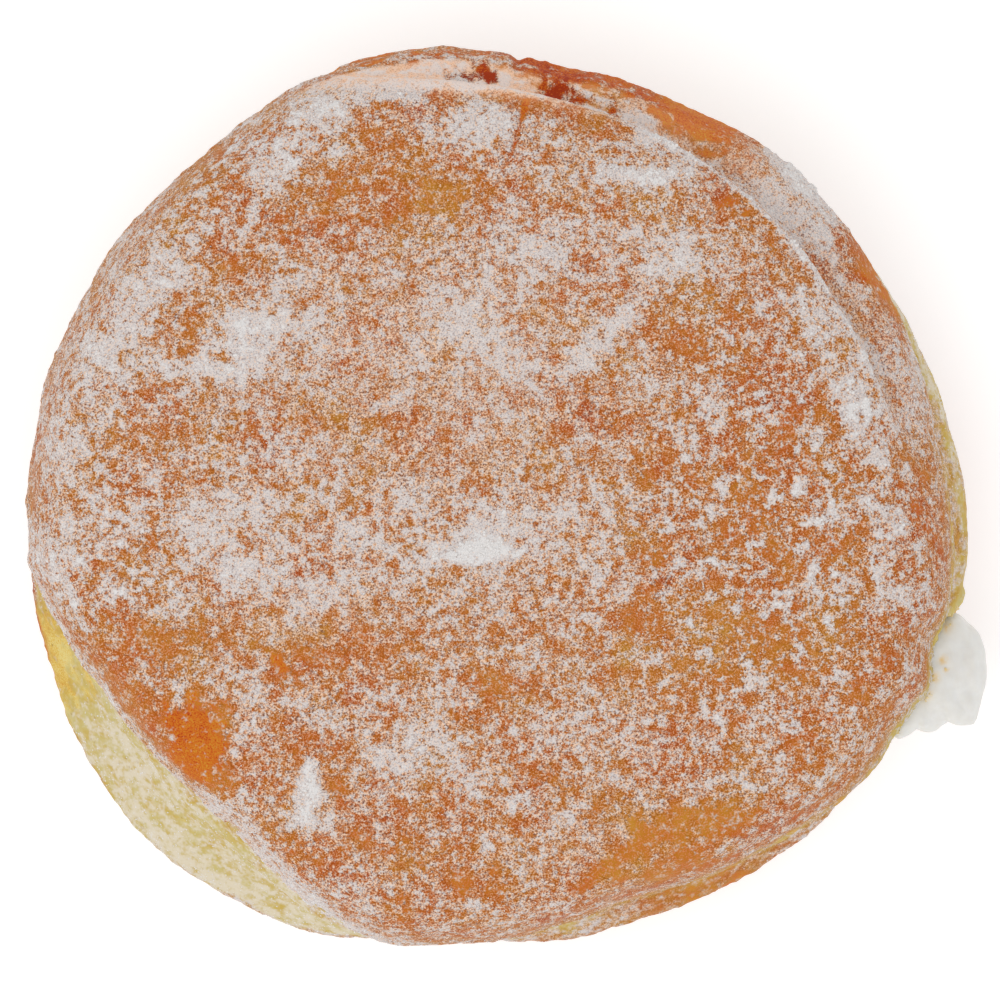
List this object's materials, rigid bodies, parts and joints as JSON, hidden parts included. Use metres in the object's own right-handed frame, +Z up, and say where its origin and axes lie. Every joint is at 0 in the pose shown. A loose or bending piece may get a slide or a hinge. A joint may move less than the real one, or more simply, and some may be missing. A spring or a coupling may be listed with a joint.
{
  "type": "cream-filled doughnut",
  "caption": "Round fried yeast doughnut dusted with sugar, with whipped cream in its pocket and swelling out of the hole in its side.",
  "frame": {"origin": "middle of the footprint, on the surface that the doughnut rests on", "axes": "+Z up out of the sugared face; +X towards the side that the cream comes out of, along the longest extent; +Y across"},
  "size_m": [0.0944, 0.0882, 0.037],
  "materials": {
    "fried_dough": "matte fried crust, golden brown, pale yellow round the waist, dusted with fine white sugar",
    "whipped_cream": "soft satin white"
  },
  "bodies": {
    "root": {"dough": "fried_dough", "cream": "whipped_cream"}
  },
  "joints": []
}
